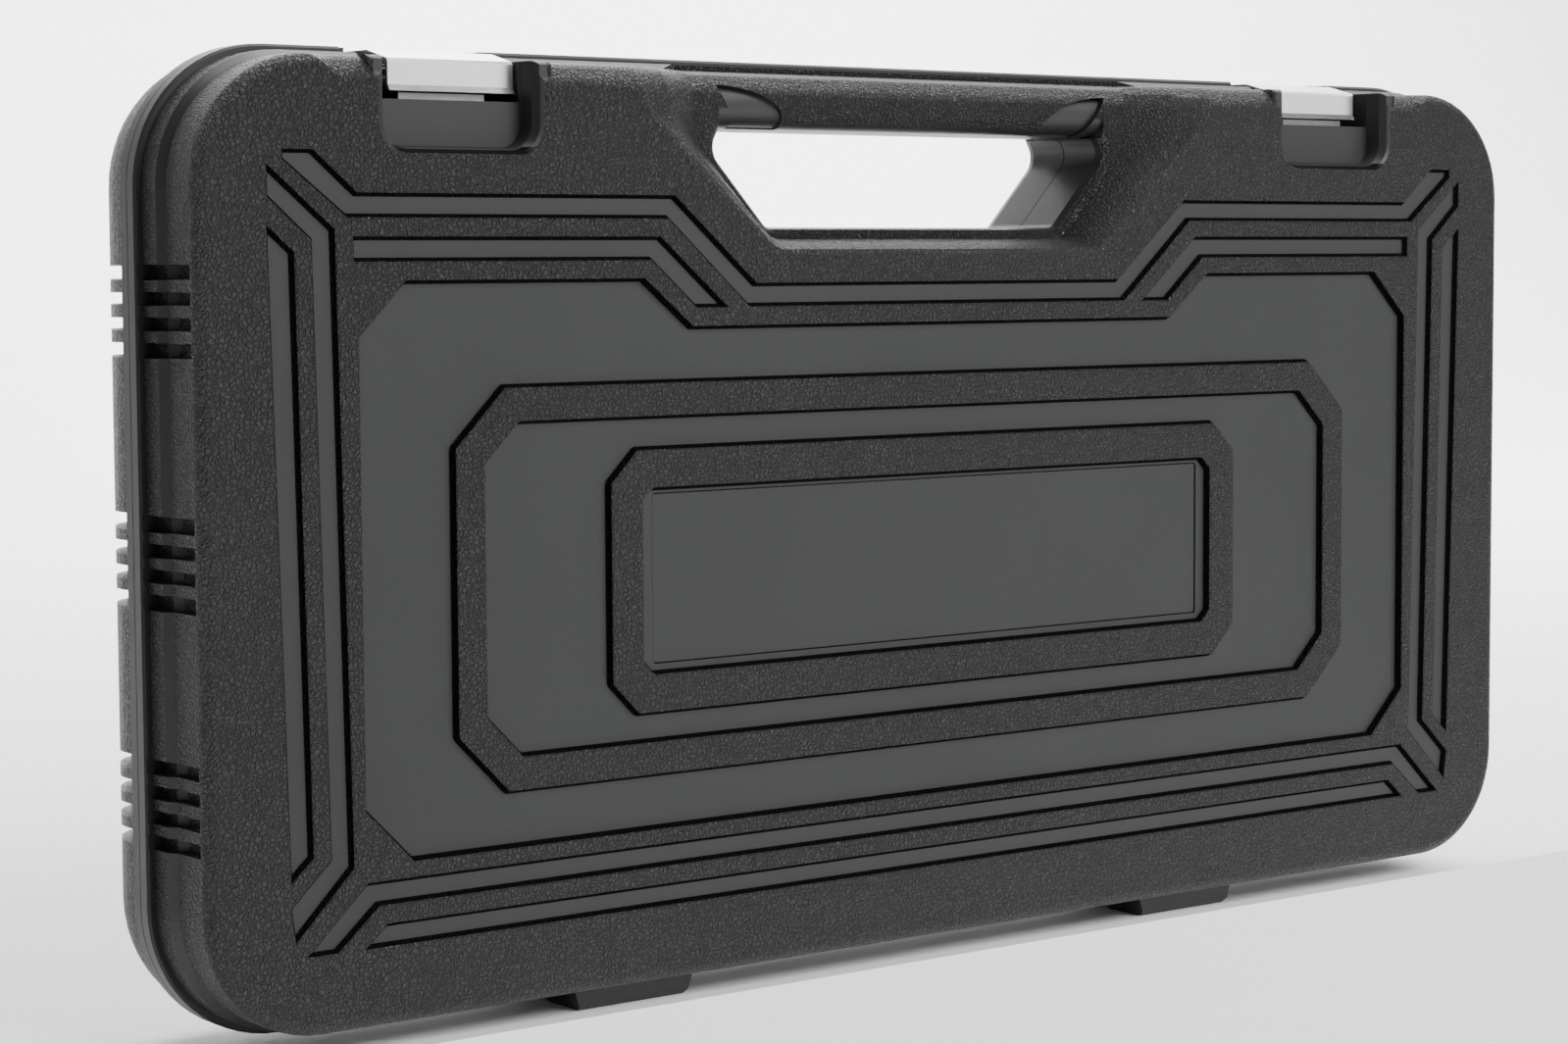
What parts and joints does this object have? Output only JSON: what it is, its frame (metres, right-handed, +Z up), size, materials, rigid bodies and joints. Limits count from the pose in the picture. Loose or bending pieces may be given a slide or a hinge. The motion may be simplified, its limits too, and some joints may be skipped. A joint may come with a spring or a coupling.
{
  "type": "socket wrench set in case",
  "caption": "Hinged black moulded tool case with a carry handle and two steel latches, holding a ratchet, sockets, extensions, a T-bar and wrenches.",
  "frame": {"origin": "under the middle of the closed case, on the surface its hinge feet stand on", "axes": "+Z up, the decorated lid half faces -Y, +X runs along the case to its right"},
  "size_m": [0.504, 0.06, 0.2672],
  "materials": {
    "case_plastic": "grained black polypropylene",
    "tray_plastic": "smooth satin black",
    "latch_steel": "bright nickel plate",
    "keeper_steel": "dark zinc",
    "pin_steel": "ground",
    "tool_chrome": "satin chrome",
    "tool_steel": "oiled steel",
    "grip_plastic": "soft black",
    "insert_rubber": "matt black"
  },
  "bodies": {
    "base": {"base_shell": "case_plastic", "base_tray": "tray_plastic", "hinge_pins": "pin_steel", "latch_pins": "pin_steel", "ratchet_body": "tool_chrome", "ratchet_cover": "tool_chrome", "cover_screws": "pin_steel", "ratchet_grip": "grip_plastic", "t_bar_rod": "tool_chrome", "extension_250": "tool_chrome", "extension_125": "tool_chrome", "extension_balls": "pin_steel", "spark_socket_16": "tool_chrome", "spark_insert_16": "insert_rubber", "spark_socket_21": "tool_chrome", "spark_insert_21": "insert_rubber", "socket_10": "tool_chrome", "socket_11": "tool_chrome", "socket_12": "tool_chrome", "socket_13": "tool_chrome", "socket_14": "tool_chrome", "socket_15": "tool_chrome", "socket_16": "tool_chrome", "socket_17": "tool_chrome", "socket_18": "tool_chrome", "socket_19": "tool_chrome", "socket_20": "tool_chrome", "socket_21": "tool_chrome", "socket_22": "tool_chrome", "socket_24": "tool_chrome", "socket_27": "tool_chrome"},
    "lid": {"lid_shell": "case_plastic", "lid_tray": "tray_plastic", "latch_keepers": "keeper_steel", "keeper_rivets": "pin_steel", "wrench_8": "tool_chrome", "wrench_10": "tool_chrome", "wrench_12": "tool_chrome", "wrench_13": "tool_chrome", "wrench_14": "tool_chrome", "wrench_15": "tool_chrome", "wrench_17": "tool_chrome", "wrench_19": "tool_chrome"},
    "latch_left": {"latch_left": "latch_steel"},
    "latch_right": {"latch_right": "latch_steel"},
    "ratchet_drive": {"ratchet_drive": "tool_steel", "ratchet_ball": "pin_steel"},
    "reversing_lever": {"reversing_lever": "tool_steel", "ratchet_pawl": "tool_steel"},
    "release_button": {"release_button": "pin_steel"},
    "t_bar_head": {"t_bar_head": "tool_chrome", "t_bar_ball": "pin_steel"}
  },
  "joints": [
    {"name": "lid_hinge", "type": "hinge", "parent": "base", "child": "lid", "pos_m": [0, 0, 0.0034], "axis": [1, 0, 0], "range_deg": [0, 100]},
    {"name": "latch_left_hinge", "type": "hinge", "parent": "base", "child": "latch_left", "pos_m": [-0.166, 0.012, 0.2632], "axis": [-1, 0, 0], "range_deg": [0, 110]},
    {"name": "latch_right_hinge", "type": "hinge", "parent": "base", "child": "latch_right", "pos_m": [0.166, 0.012, 0.2632], "axis": [-1, 0, 0], "range_deg": [0, 110]},
    {"name": "ratchet_spin", "type": "hinge", "parent": "base", "child": "ratchet_drive", "pos_m": [-0.196, 0, 0.172], "axis": [0, 1, 0], "continuous": true},
    {"name": "lever_turn", "type": "hinge", "parent": "base", "child": "reversing_lever", "pos_m": [-0.1755, 0, 0.172], "axis": [0, 1, 0], "range_deg": [-9, 9]},
    {"name": "release_press", "type": "slide", "parent": "ratchet_drive", "child": "release_button", "axis": [0, 1, 0], "range_m": [0, 0.002], "stiffness_N_per_m": 400, "springref_m": -0.002},
    {"name": "t_bar_slide", "type": "slide", "parent": "base", "child": "t_bar_head", "axis": [1, 0, 0], "range_m": [-0.1, 0.1]}
  ]
}
